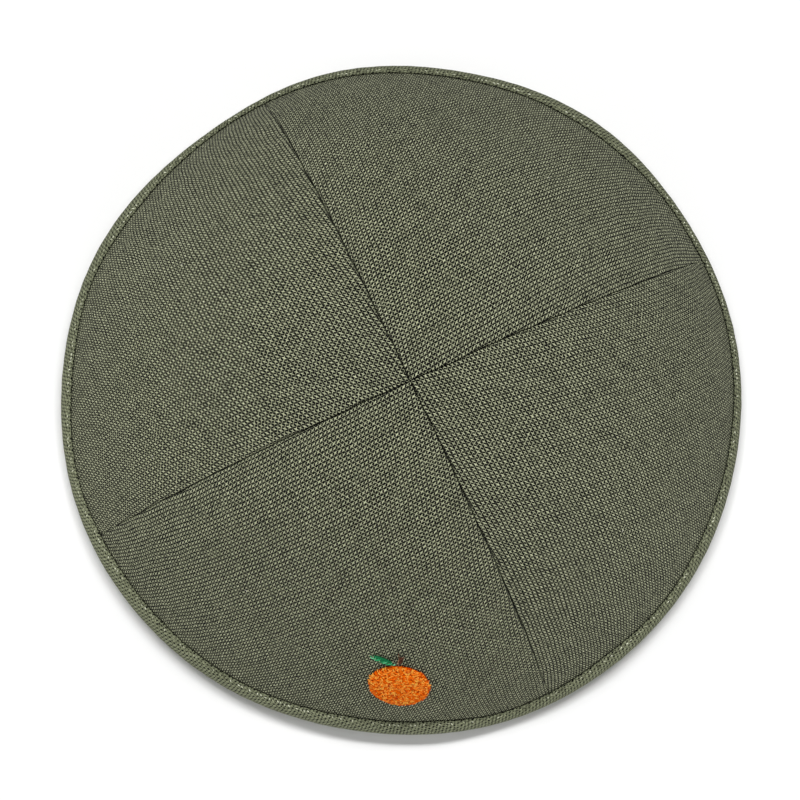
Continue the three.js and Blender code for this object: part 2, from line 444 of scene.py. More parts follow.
def dress(piece: bpy.types.Object, material: bpy.types.Material, slot: Slot, *nodes: str) -> None:
    """Gives a finished piece its finish, its body and the CAD nodes that it stands for.

    Args:
        piece: The finished piece.
        material: Its finish.
        slot: The record's slot for that finish; not used.
        nodes: The CAD nodes that it replaces.
    """
    piece.data.materials.clear()
    piece.data.materials.append(material)
    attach(piece, Body.ROOT.value)
    if nodes:
        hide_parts(*nodes)
    size = " x ".join(f"{d / MM:.1f}" for d in piece.dimensions)
    log.info("%s: %d faces, %s mm, %s", piece.name, len(piece.data.polygons), size, material.name)


def smooth_share(value: float, low: float, high: float) -> float:
    """Gives 0 below low, 1 above high and a smooth step between them."""
    share = min(1.0, max(0.0, (value - low) / (high - low)))
    return share * share * (3 - 2 * share)


def oval_reach(direction: float, length: float, width: float) -> float:
    """Gives the distance from an oval's centre to its outline in a direction in radians."""
    return 0.5 / math.hypot(math.cos(direction) / length, math.sin(direction) / width)


def outward(azimuth: float, elevation: float) -> Vector:
    """Gives the unit vector that points out at an azimuth and an elevation in degrees."""
    turn, rise = math.radians(azimuth), math.radians(elevation)
    return Vector((math.cos(turn) * math.cos(rise), math.sin(turn) * math.cos(rise), math.sin(rise)))


@dataclass
class Crown:
    """The shape that the cap's cloth lies on: a meridian swept round an axis, a little out of round."""

    rim_radius: float = 84.8
    height: float = 60.7
    axis: tuple[float, float] = (0.205, -0.381)  # where it meets the floor
    outline: tuple[tuple[float, float], ...] = (
        (0, 1), (0.13, 0.989), (0.258, 0.954), (0.381, 0.897), (0.498, 0.816), (0.606, 0.715),
        (0.706, 0.598), (0.796, 0.466), (0.877, 0.322), (0.945, 0.166), (1, 0),
    )  # shares of the rim's radius and of the height
    rim_waves: tuple[tuple[int, float, float], ...] = (
        (2, 0.009, 11), (3, 0.006, 72), (5, 0.0015, 14), (6, 0.002, 45), (7, 0.002, 2), (8, 0.0025, 14),
    )  # the number of lobes, how far they reach and the azimuth of the first
    cloth_thickness: float = 1.4
    border_widths: tuple[tuple[float, float], ...] = (
        (0, 5.4), (15, 4.4), (35, 4.7), (54, 8.0), (80, 6.1), (104, 5.3), (122, 4.0), (147, 7.5),
        (162, 5.7), (176, 6.8), (192, 5.7), (212, 8.2), (240, 8.2), (262, 9.2), (274, 9.0), (288, 6.5),
        (308, 8.4), (321, 6.9), (336, 7.3), (350, 6.2),
    )  # azimuth and width
    binding_proud: float = 0.5  # how far the band's outer face stands out
    binding_fold: float = 0.2  # half the thickness of its folded edge
    fit_gap: float = 0.12
    tuck_length: float = 1.4  # over which the gores dip under it
    bumps: tuple[tuple[float, float], ...] = ((24.0, 0.4), (9.0, 0.12), (4.0, 0.05))  # breadth and height
    steps: int = 2000  # of the table of the meridian
    length: float = field(init=False)
    table: list[tuple[float, Vector, Vector]] = field(init=False, repr=False)

    def __post_init__(self) -> None:
        """Tabulates the meridian by its length from the top to the edge."""
        half = [Vector((r * self.rim_radius, h * self.height)) for r, h in self.outline]
        points = [Vector((-p.x, p.y)) for p in reversed(half[1:])] + half
        middle = len(half) - 1
        spots = []
        for step in range(self.steps + 1):
            turn = step / self.steps * middle
            at = min(int(turn), middle - 1)
            spots.append(self._spline(points, middle + at, turn - at))
        run = [0.0]
        for before, after in zip(spots, spots[1:]):
            run.append(run[-1] + (after - before).length)
        self.length = run[-1]
        last = self.steps
        tangents = [
            (spots[min(n + 1, last)] - spots[max(n - 1, 0)]).normalized() for n in range(last + 1)
        ]
        tangents[0] = Vector((1, 0))
        self.table = []
        at = 0
        for step in range(self.steps + 1):
            target = self.length * step / self.steps
            while at < self.steps - 1 and run[at + 1] < target:
                at += 1
            share = (target - run[at]) / (run[at + 1] - run[at])
            spot = spots[at].lerp(spots[at + 1], share)
            self.table.append((target, spot, tangents[at].lerp(tangents[at + 1], share).normalized()))

    @staticmethod
    def _spline(points: list[Vector], at: int, share: float) -> Vector:
        """Gives a point of the smooth curve through the outline, a share of the way past point at.

        Args:
            points: The outline's points.
            at: The number of the point before.
            share: The share of the way to the next point.

        Returns:
            The point's radius and height.
        """
        p0, p1 = points[at - 1], points[at]
        p2, p3 = points[min(at + 1, len(points) - 1)], points[min(at + 2, len(points) - 1)]
        v1, v2 = (p2 - p0) / 2, (p3 - p1) / 2
        cubic, square = 2 * p1 - 2 * p2 + v1 + v2, -3 * p1 + 3 * p2 - 2 * v1 - v2
        return cubic * share**3 + square * share**2 + v1 * share + p1

    def border_width(self, azimuth: float) -> float:
        """Gives how wide the binding lies on the cloth at an azimuth, in mm.

        Args:
            azimuth: Where on the edge.

        Returns:
            The width, eased from one measured place to the next.
        """
        turn = azimuth % 360
        stops = (*self.border_widths, (360, self.border_widths[0][1]))
        (start, low), (end, high) = next(pair for pair in zip(stops, stops[1:]) if turn <= pair[1][0])
        return low + (high - low) * smooth_share(turn, start, end)

    def border_share(self, azimuth: float) -> float:
        """Gives the share of the meridian at which the binding's border lies."""
        return 1 - self.border_width(azimuth) / self.length

    def tuck_share(self, azimuth: float) -> float:
        """Gives the share of the meridian from which the gores dip under the binding."""
        return self.border_share(azimuth) - self.tuck_length / self.length

    @property
    def cloth_depth(self) -> float:
        """How deep the gores lie inside the binding's outer face."""
        return 2 * self.binding_fold + self.fit_gap

    def section(self, share: float, lift: float) -> Vector:
        """Gives a point of the cap's section.

        Args:
            share: The share of the way from the top to the edge.
            lift: How far it lies outside the meridian.

        Returns:
            Its radius and its height.
        """
        turn = min(1.0, max(0.0, share)) * self.steps
        at = min(int(turn), self.steps - 1)
        _, spot, along = self.table[at]
        _, next_spot, next_along = self.table[at + 1]
        spot = spot.lerp(next_spot, turn - at)
        along = along.lerp(next_along, turn - at)
        return Vector((spot.x - along.y * lift, spot.y + along.x * lift))

    def waver(self, azimuth: float, share: float) -> float:
        """Gives the share by which the cap lies out of round at an azimuth."""
        waves = (out * math.cos(lobes * math.radians(azimuth - at)) for lobes, out, at in self.rim_waves)
        return share**4 * sum(waves)

    def place(self, azimuth: float, share: float, radius: float, height: float) -> Vector:
        """Turns a point of the section into a place in the scene, in metres.

        Args:
            azimuth: Where round the cap.
            share: The share of the way from the top to the edge.
            radius: The point's distance from the axis.
            height: The point's height.

        Returns:
            The place, with the cap out of round as it is there.
        """
        out = radius * (1 + self.waver(azimuth, share))
        turn = math.radians(azimuth)
        x, y = self.axis
        return Vector((x + out * math.cos(turn), y + out * math.sin(turn), height)) * MM

    def point(self, azimuth: float, share: float, lift: float) -> Vector:
        """Gives the place in metres of a point that lies lift outside the meridian."""
        spot = self.section(share, lift)
        return self.place(azimuth, share, spot.x, spot.y)

    def binding_lift(self, azimuth: float, share: float) -> float:
        """Gives how far the binding's outer face stands out from the meridian.

        Args:
            azimuth: Where round the cap.
            share: The share of the way from the top to the edge.

        Returns:
            The distance, which falls to nothing at the edge.
        """
        border = self.border_share(azimuth)
        down = min(1.0, max(0.0, (share - border) / (1 - border)))
        return self.binding_proud * math.cos(down * math.pi / 2)

    def cloth_lift(self, azimuth: float, share: float) -> float:
        """Gives how far the gores' outer face lies from the meridian, with the cloth's own unevenness.

        Args:
            azimuth: Where round the cap.
            share: The share of the way from the top to the edge.

        Returns:
            The distance outwards, which is negative under the binding.
        """
        tuck = self.tuck_share(azimuth)
        tucked = smooth_share(share, tuck, self.border_share(azimuth))
        spot = self.point(azimuth, share, 0) / MM
        uneven = sum(out * noise.noise(spot / size) for size, out in self.bumps)
        fade = 1 - smooth_share(share, tuck - 0.05, tuck)
        return uneven * fade + tucked * (self.binding_lift(azimuth, share) - self.cloth_depth)

    def cloth(self, azimuth: float, share: float, lift: float) -> Vector:
        """Gives the place in metres of a point that lies lift outside the gores' outer face."""
        return self.point(azimuth, share, self.cloth_lift(azimuth, share) + lift)

    def seat(self, surface: Callable[[float, float], Vector], azimuth: float, share: float) -> Matrix:
        """Gives the frame of a spot on a surface of the cap.

        Args:
            surface: Gives a place in metres from an azimuth and a share.
            azimuth: The spot's azimuth.
            share: The spot's share.

        Returns:
            A matrix with its origin at the spot, x anticlockwise, y up the crown and z outwards.
        """
        spot = surface(azimuth, share)
        right = (surface(azimuth + 0.2, share) - surface(azimuth - 0.2, share)).normalized()
        up = surface(azimuth, share - 0.002) - surface(azimuth, share + 0.002)
        out = right.cross(up).normalized()
        up = out.cross(right)
        return Matrix.LocRotScale(spot, Matrix((right, up, out)).transposed(), None)


@dataclass
class Gore:
    """One gore of cloth: a shell with rolled side edges, from its tip down to a cut edge in the binding."""

    name: str
    start: float
    end: float
    grain_tilt: float
    crown: Crown
    seam_setback: float = 0.12
    inner_setback: float = 0.03
    edge_roll: float = 0.4
    seam_waves: tuple[tuple[float, float], ...] = ((7.0, 0.24), (2.0, 0.12))  # length and sideways reach
    foot_gap: float = 1.5  # from the cut edge to the fold of the band
    warp_bend: float = 6.5  # how much larger than the rim's the radius is on which the warp runs straight
    weft_bow: float = 0.88
    rows: int = 110
    tuck_rows: int = 5
    columns: int = 84
    roll_steps: int = 4

    def __post_init__(self) -> None:
        """Works out the rows' steps down the gore and the columns' places across it."""
        half = math.radians(self.end - self.start) / 2
        self.tip = self.inner_setback / math.sin(half) / self.crown.length
        self.steps = [("crown", (n / self.rows) ** 1.05) for n in range(self.rows + 1)]
        self.steps += [("tuck", (n + 1) / self.tuck_rows) for n in range(self.tuck_rows)]
        self.steps += [("foot", 0.5), ("foot", 1.0), ("foot", 1.0)]
        rolls = [90 - 90 * n / self.roll_steps for n in range(self.roll_steps)]
        flats = [-1 + 2 * n / self.columns for n in range(self.columns + 1)]
        face = [(-1.0, roll) for roll in rolls] + [(flat, 0.0) for flat in flats]
        face += [(1.0, roll) for roll in reversed(rolls)]
        self.columns_round = [(*spot, False) for spot in face]
        self.columns_round += [(*spot, True) for spot in reversed(face)]
        self.columns_round.append(self.columns_round[0])

    def _share(self, azimuth: float, row: int) -> float:
        """Gives a row's share of the meridian at an azimuth.

        Args:
            azimuth: Where round the cap.
            row: The row's number.

        Returns:
            The share, from 0 at the top.
        """
        tuck, border = self.crown.tuck_share(azimuth), self.crown.border_share(azimuth)
        part, way = self.steps[row]
        foot = 1 - self.foot_gap / self.crown.length
        low, high = {"crown": (self.tip, tuck), "tuck": (tuck, border), "foot": (border, foot)}[part]
        return low + (high - low) * way

    def _seam(self, azimuth: float, share: float) -> tuple[float, float]:
        """Gives how a seam lies: how far it wanders sideways and how wide its edges roll, in mm.

        Args:
            azimuth: The seam's azimuth.
            share: The share of the way from the top to the edge.

        Returns:
            How far it wanders sideways, and how wide the gore's edge rolls in there.
        """
        turn = math.radians(azimuth)
        # A line through the noise for each seam, 40 mm from the axis and clear of the others
        where = Vector((40 * math.cos(turn), 40 * math.sin(turn), share * self.crown.length))
        wander = sum(reach * noise.noise(where / size) for size, reach in self.seam_waves)
        # Each seam stitch, 1.6 mm long, draws the edge in to between half and all of its roll
        pull = min(1.0, max(0.5, 0.8 + 0.9 * noise.noise(where / 1.6)))
        # Low down the seam is pressed flatter
        pressed = 1 - 0.5 * smooth_share(share, 0.74, 0.95)
        return wander * smooth_share(share, 0.0, 0.08), self.edge_roll * pull * pressed

    def _spot(self, column: int, row: int) -> tuple[float, float, float]:
        """Gives a corner's azimuth, share and depth inside the outer face.

        Args:
            column: The corner's column, counted round the gore's section.
            row: Its row, counted down.

        Returns:
            Its azimuth, its share of the meridian and its depth.
        """
        across, roll, inside = self.columns_round[column]
        middle, half = (self.start + self.end) / 2, (self.end - self.start) / 2
        share = self._share(middle + half * across, row)
        radius = max(self.crown.section(share, 0).x, 1e-6)
        # The seam closes up to about a third of its width towards the edge
        narrow = 1 - 0.65 * smooth_share(share, 0.45, 0.95)
        setback = self.inner_setback if inside else self.seam_setback * narrow
        half -= math.degrees(math.asin(min(1.0, setback / radius)))
        width = math.radians(max(half, 0.0)) * radius
        before, after = self._seam(self.start, share), self._seam(self.end, share)
        turn = math.radians(roll)
        curl = min((before if across < 0 else after)[1], 0.45 * width)
        flat = width - curl * (1 - math.sin(turn) if roll else 1.0)
        aside = before[0] * (1 - across) / 2 + after[0] * (1 + across) / 2
        azimuth = middle + math.degrees((flat * across + aside) / radius)
        depth = curl * (1 - math.cos(turn)) if row else 0.0
        if inside:
            depth = self.crown.cloth_thickness - depth
        if row == len(self.steps) - 1:
            depth = self.crown.cloth_thickness / 2
        return azimuth, share, depth

    def place(self, column: int, row: int) -> Vector:
        """Gives a corner's place in metres."""
        azimuth, share, depth = self._spot(column, row)
        return self.crown.cloth(azimuth, share, -depth)

    def chart(self, column: int, row: int) -> tuple[float, float]:
        """Gives a corner's place on the flat cloth: its warp runs straight, its weft bows a little.

        Args:
            column: The corner's column.
            row: Its row.

        Returns:
            Its place across and along the warp, in mm.
        """
        azimuth, share, _ = self._spot(column, row)
        radius = self.crown.section(share, 0).x
        turn = math.radians(azimuth - (self.start + self.end) / 2 - self.grain_tilt)
        bend = self.crown.rim_radius + self.warp_bend
        x = bend * math.asin(min(1.0, max(-1.0, radius * math.sin(turn) / bend)))
        return x, self.crown.length * share * math.cos(self.weft_bow * turn)

    def build(self, material: bpy.types.Material) -> None:
        """Builds and dresses the gore."""
        columns, rows = len(self.columns_round), len(self.steps)
        piece = shaped_grid(f"linen_{self.name}", columns, rows, self.place, self.chart)
        dress(piece, material, Slot.PANELS, self.name)


@dataclass
class StitchForm:
    """A short stitch of yarn along x, bent a little sideways, that dips into the cloth at its ends."""

    length: float
    width: float
    height: float
    dip: float
    bend: float = 0.0

    def build(self, name: str) -> bpy.types.Object:
        """Builds one stitch about the origin, to be copied and then deleted.

        Args:
            name: The stitch's name.

        Returns:
            The stitch.
        """
        deselect()
        bpy.ops.mesh.primitive_uv_sphere_add(
            segments=6, ring_count=7, radius=0.5, rotation=(0, math.pi / 2, 0)
        )
        piece = bpy.context.object
        piece.name = name
        bpy.ops.object.transform_apply(location=True, rotation=True, scale=True)
        piece.data.uv_layers[0].name = STRAND_MAP
        for v in piece.data.vertices:  # blunt the ends, so that the yarn keeps its width
            v.co.x = math.copysign(abs(2 * v.co.x) ** 0.8 / 2, v.co.x)
        bpy.ops.object.mode_set(mode="EDIT")
        bpy.ops.mesh.select_all(action="SELECT")
        bpy.ops.transform.resize(value=(self.length * MM, self.width * MM, self.height * MM))
        bpy.ops.object.mode_set(mode="OBJECT")
        half = self.length * MM / 2
        for v in piece.data.vertices:
            out = abs(v.co.x) / half
            v.co.y += self.bend * MM * (1 - out**2)
            v.co.z -= self.dip * MM * out**3
        tone = piece.data.attributes.new(TONE, "FLOAT", "POINT")
        tone.data.foreach_set("value", [0.5] * len(piece.data.vertices))
        bpy.ops.object.shade_smooth()
        return piece


def sew(name: str, form: bpy.types.Object, seats: list[tuple[Matrix, float]]) -> bpy.types.Object:
    """Copies one stitch to many places and joins the copies into one piece.

    Args:
        name: The joined piece's name.
        form: The stitch to copy, which is deleted afterwards.
        seats: Each copy's matrix and its tone.

    Returns:
        The joined piece, at the origin.
    """
    copies = []
    for matrix, tone in seats:
        mesh = form.data.copy()
        mesh.transform(matrix)
        mesh.attributes[TONE].data.foreach_set("value", [tone] * len(mesh.vertices))
        copy = bpy.data.objects.new(name, mesh)
        bpy.context.collection.objects.link(copy)
        copies.append(copy)
    activate(copies[0])
    for copy in copies:
        copy.select_set(True)
    bpy.ops.object.join()
    piece = bpy.context.object
    piece.name = piece.data.name = name
    bpy.data.objects.remove(form, do_unlink=True)
    return piece


@dataclass
class Binding:
    """The band of the same cloth folded round the cut edge, and the line of stitches that holds it."""

    crown: Crown
    stitch_count: int = 500
    steps_per_stitch: int = 3
    stitch_line: float = 0.5  # below the border
    stitch_share: float = 0.66  # of the distance from one stitch to the next
    stitch_dip: float = 0.26
    stitch_pull: float = 0.2
    valley_width: float = 0.35
    thread_width: float = 0.27
    roll_lean: float = 0.4  # outwards for each mm up, at the foot
    roll_power: float = 2.2
    puff: float = 0.12
    border_wander: float = 0.25
    bias: float = 12.0  # the angle of its grain
    join_azimuth: float = 62.0  # where its two ends meet
    foot_height: float = 1.6
    foot_squareness: float = 2.8
    inner_depth: float = 4.0
    inner_top: float = 2.7
    inner_fold: float = 0.42
    seed: int = 11

    def __post_init__(self) -> None:
        """Lays out the section's rows: a face, a share of the way up it, a bit past that and a lift."""
        fold, top, inner = self.crown.binding_fold, self.crown.binding_proud, self.inner_fold
        hidden = (0.3, 0.65, 1.0)
        self.path = [("hidden outer", up, 0.0, top - 2 * fold) for up in hidden]
        for n in range(1, 8):
            turn = math.pi * (1 - n / 8)
            self.path.append(("outer", 1.0, fold * math.sin(turn), top - fold + fold * math.cos(turn)))
        self.path += [("outer", 1 - n / 14, 0.0, top) for n in range(15)]
        self.path += [("foot", 1 - n / 12, 0.0, 0.0) for n in range(1, 12)]
        rise = self.inner_depth - self.inner_top
        self.path += [("inner", n / 7, 0.0, rise * n / 7 - self.inner_depth) for n in range(8)]
        for n in range(1, 7):
            turn = math.pi * (1 - n / 7)
            lift = inner - self.inner_top + inner * math.cos(turn)
            self.path.append(("inner", 1.0, inner * math.sin(turn), lift))
        self.path += [("hidden inner", up, 0.0, 2 * inner - self.inner_top) for up in reversed(hidden)]
        self.path.append(self.path[0])
        self.count = self.stitch_count * self.steps_per_stitch
        self.run = [0.0]
        for row in range(1, len(self.path)):
            self.run.append(self.run[-1] + (self.place(0, row) - self.place(0, row - 1)).length / MM)

    def azimuth(self, column: float) -> float:
        """Gives the azimuth of a column of corners."""
        return self.join_azimuth + 360 * column / self.count

    def _pull(self, azimuth: float, up: float) -> tuple[float, float]:
        """Gives how the stitches pull on the outer face.

        Args:
            azimuth: Where on the edge.
            up: Where on the cloth, above the edge.

        Returns:
            How much further up the cloth it lies there, and how much further out.
        """
        phase = 2 * math.pi * (azimuth - self.join_azimuth) / 360 * self.stitch_count
        turn = math.radians(azimuth)
        where = Vector((math.cos(turn), math.sin(turn), 0.0))
        tug = 1 + 0.9 * noise.noise(where * 40)  # some stitches pull tighter
        width = self.crown.border_width(azimuth)
        below = width - up
        valley = math.exp(-(((below - self.stitch_line) / self.valley_width) ** 2))
        # The cloth puffs up between the stitches' valley and the fold
        pillow = math.sin(math.pi * min(1.0, max(0.0, (below - 0.8) / (width - 1.2))))
        wander = self.border_wander * (noise.noise(where * 9) + 0.7 * noise.noise(where * 31))
        slide = wander + self.stitch_pull * tug * math.cos(phase) * math.exp(-max(below, 0) / 0.6)
        out = self.puff * pillow * (1 + 0.6 * noise.noise(where * 26))
        out -= self.stitch_dip * tug * valley * (0.6 + 0.4 * math.cos(phase))
        return slide * smooth_share(up, self.foot_height, width), out

    def _roll(self, azimuth: float, up: float) -> float:
        """Gives how far the outer leg bulges: it stands nearly upright below and rolls in above."""
        share = min(1.0, max(0.0, up / self.crown.border_width(azimuth)))
        return self.roll_lean * up * (1 - share**self.roll_power)

    def place(self, column: float, row: int) -> Vector:
        """Gives a corner's place.

        Args:
            column: The corner's column, counted round the edge.
            row: Its row, counted round the band's section.

        Returns:
            The place in metres.
        """
        face, share, past, lift = self.path[row]
        azimuth = self.azimuth(column)
        if face == "foot":
            return self._foot(azimuth, share)
        reach = self.crown.border_width(azimuth) - self.crown.binding_fold - self.foot_height
        return self._wall(azimuth, self.foot_height + reach * share + past, lift, face)

    def _wall(self, azimuth: float, up: float, lift: float, face: str) -> Vector:
        """Gives a place on either leg of the band, in metres.

        Args:
            azimuth: Where on the edge.
            up: How far up the cloth, above the edge.
            lift: How far outside the meridian.
            face: The name of the leg's face.

        Returns:
            The place.
        """
        slide, out = self._pull(azimuth, up)
        if "inner" in face:  # the pull comes through weaker, and from the other side
            slide, out = slide * 0.7, -0.5 * out
        if "hidden" in face:  # what lies turned under feels only a little of it
            out = min(out, 0.0) * 0.3
        if "outer" in face:
            out += self._roll(azimuth, up)
        share = 1 - (up + slide) / self.crown.length
        face_lift = self.crown.binding_lift(azimuth, share) - self.crown.binding_proud
        spot = self.crown.point(azimuth, share, lift + face_lift + out)
        spot.z = max(0.0, spot.z)  # the inner leg leans, and rests on the floor too
        return spot

    def _foot(self, azimuth: float, share: float) -> Vector:
        """Gives a place on the rounded fold that the cap rests on.

        Args:
            azimuth: Where on the edge.
            share: The share of the way from the inner leg, at 0, to the outer, at 1.

        Returns:
            The place in metres.
        """
        outer = self._wall(azimuth, self.foot_height, self.crown.binding_proud, "outer")
        inner = self._wall(azimuth, self.foot_height, -self.inner_depth, "inner")
        turn = math.pi * (1 - share)
        power = 2 / self.foot_squareness
        along = (1 - math.copysign(abs(math.cos(turn)) ** power, math.cos(turn))) / 2
        drop = abs(math.sin(turn)) ** power
        spot = outer.lerp(inner, along)
        # Below the outer leg the fold reaches out to the rim
        rim = self.crown.point(azimuth, 1, 0)
        flare = (rim - Vector((outer.x, outer.y, rim.z))) * smooth_share(0.5 - along, 0.0, 0.5)
        return Vector((spot.x, spot.y, spot.z * (1 - drop))) + flare * min(1.0, 1.6 * drop) * 1.05

    def chart(self, column: int, row: int) -> tuple[float, float]:
        """Gives a corner's place on the flat cloth, whose warp runs nearly across the band.

        Args:
            column: The corner's column.
            row: Its row.

        Returns:
            Its place across and along the warp, in mm.
        """
        along = 2 * math.pi * self.crown.rim_radius * column / self.count
        down = self.run[row]
        turn = math.radians(self.bias)
        return (
            along * math.cos(turn) + down * math.sin(turn),
            down * math.cos(turn) - along * math.sin(turn),
        )

    def build(self, linen: bpy.types.Material, thread: bpy.types.Material) -> None:
        """Builds and dresses the band and its stitches, outside and inside.

        Args:
            linen: The band's finish.
            thread: The finish of its stitches.
        """
        piece = shaped_grid("linen_binding", self.count + 1, len(self.path), self.place, self.chart)
        dress(piece, linen, Slot.BINDING, "rim_binding")
        rng = random.Random(self.seed)
        pitch = 2 * math.pi * self.crown.rim_radius / self.stitch_count
        for side, lift in (("outer", self.crown.binding_proud), ("inner", -self.inner_top)):
            form = StitchForm(pitch * self.stitch_share, self.thread_width, self.thread_width, dip=0.1)
            form = form.build("stitch")
            seats = []
            for n in range(self.stitch_count):
                azimuth = self.join_azimuth + 360 * (n + 0.5) / self.stitch_count + rng.uniform(-0.15, 0.15)
                up = self.crown.border_width(azimuth) - self.stitch_line + rng.uniform(-0.1, 0.1)
                seat = self.crown.seat(
                    lambda a, s: self._wall(a, (1 - s) * self.crown.length, lift, side),
                    azimuth, 1 - up / self.crown.length,
                )
                if side == "inner":
                    seat = seat @ Matrix.Rotation(math.pi, 4, "X")
                turn = Matrix.Rotation(math.radians(rng.gauss(-30, 16)), 4, "Z")
                sink = Matrix.Translation((0, 0, rng.uniform(0.02, 0.1) * MM))
                size = Matrix.Diagonal((rng.uniform(0.7, 1.15), rng.uniform(0.8, 1.15), 1, 1))
                seats.append((seat @ sink @ turn @ size, min(1.0, max(0.0, rng.gauss(0.5, 0.33)))))
            stitches = sew(f"topstitch_{side}", form, seats)
            dress(stitches, thread, Slot.BINDING)


@dataclass
class Embroidery:
    """One filled shape of the embroidery: a low pad of stitching under a layer of single stitches."""

    name: str
    node: str
    crown: Crown
    azimuth: float
    above_edge: float
    centre: tuple[float, float]
    length: float
    width: float
    tilt: float
    edge: float = 0.4
    full: float = 1.0
    rings: int = 12
    sides: int = 64
    pad_share: float = 0.97
    seed: int = 3

    def outline(self, direction: float) -> float:
        """Gives the outline's distance from the centre in a direction of the pad's own axes, in radians."""
        return oval_reach(direction, self.length, self.width)

    def spread(self, x: float, y: float) -> float:
        """Gives 0 at the centre of the pad and 1 at its outline, for a place on its own axes."""
        reach = math.hypot(x, y)
        return reach / self.outline(math.atan2(y, x)) if reach > 1e-9 else 0.0

    def rise(self, spread: float) -> float:
        """Gives how high the pad stands on the cloth, in mm."""
        return self.edge + (self.full - self.edge) * math.sqrt(max(0.0, 1 - min(1.0, spread) ** 2))

    def surface(self, x: float, y: float, lift: float) -> Vector:
        """Gives a place in metres over the cloth, for a place on the pad's own axes and a lift in mm.

        Args:
            x: The place along the pad.
            y: The place across it.
            lift: The height above the cloth.

        Returns:
            The place.
        """
        turn = math.radians(self.tilt)
        right = self.centre[0] + x * math.cos(turn) - y * math.sin(turn)
        up = self.centre[1] + x * math.sin(turn) + y * math.cos(turn)
        share = 1 - (self.above_edge + up) / self.crown.length
        azimuth = self.azimuth + math.degrees(right / self.crown.section(share, 0).x)
        return self.crown.cloth(azimuth, share, lift)

    def seat(self, x: float, y: float, lift: float, direction: float) -> Matrix:
        """Gives the frame of a stitch that lies in a direction, in radians, at a place on the pad.

        Args:
            x: The place along the pad.
            y: The place across it.
            lift: The height above the pad.
            direction: The way the stitch runs on the pad's axes.

        Returns:
            A matrix with x along the stitch and z outwards.
        """
        step = 0.25
        along = (math.cos(direction) * step, math.sin(direction) * step)

        def top(u: float, v: float) -> Vector:
            """Gives a place on the pad's top."""
            return self.surface(u, v, lift + self.rise(self.spread(u, v)))

        right = (top(x + along[0], y + along[1]) - top(x - along[0], y - along[1])).normalized()
        up = top(x - along[1], y + along[0]) - top(x + along[1], y - along[0])
        out = right.cross(up).normalized()
        return Matrix.LocRotScale(top(x, y), Matrix((right, out.cross(right), out)).transposed(), None)

    def pad(self) -> bpy.types.Object:
        """Builds the low pad, closed below.

        Returns:
            The pad, in its darkest tone, which shows as painted shade between the stitches.
        """
        def place(column: int, row: int) -> Vector:
            """Gives a corner's place.

            Args:
                column: The corner's column, counted round the pad.
                row: Its row, counted outwards and then back below.

            Returns:
                The place in metres.
            """
            direction = 2 * math.pi * column / self.sides
            size = row / self.rings if row <= self.rings else 1 - (row - self.rings) / 3
            lift = self.rise(size) - 0.08 if row <= self.rings else 0.0
            if row == self.rings:
                lift = self.edge * 0.6
            reach = self.outline(direction) * size * self.pad_share
            return self.surface(reach * math.cos(direction), reach * math.sin(direction), max(lift, 0.02))

        def chart(column: int, row: int) -> tuple[float, float]:
            """Gives a corner's place on the strand map."""
            return 8 * column / self.sides, row / self.rings

        piece = shaped_grid(self.name, self.sides + 1, self.rings + 4, place, chart, STRAND_MAP)
        # Painted shade: the pad takes a dark tone, seen in the gaps between the stitches
        tone = piece.data.attributes.new(TONE, "FLOAT", "POINT")
        tone.data.foreach_set("value", [0.12] * len(piece.data.vertices))
        return piece

    def fill(self) -> list[tuple[Matrix, float]]:
        """Lays out the single stitches, each as a matrix and a tone."""
        raise NotImplementedError

    def form(self) -> StitchForm:
        """Gives the stitch that fills the shape."""
        raise NotImplementedError

    def build(self, material: bpy.types.Material, slot: Slot) -> None:
        """Builds the pad with its stitches as one piece and dresses it.

        Args:
            material: The yarn's finish.
            slot: The record's slot for it.
        """
        pad = self.pad()
        stitches = sew(self.name + "_stitches", self.form().build("stitch"), self.fill())
        activate(pad)
        stitches.select_set(True)
        bpy.ops.object.join()
        dress(pad, material, slot, self.node)


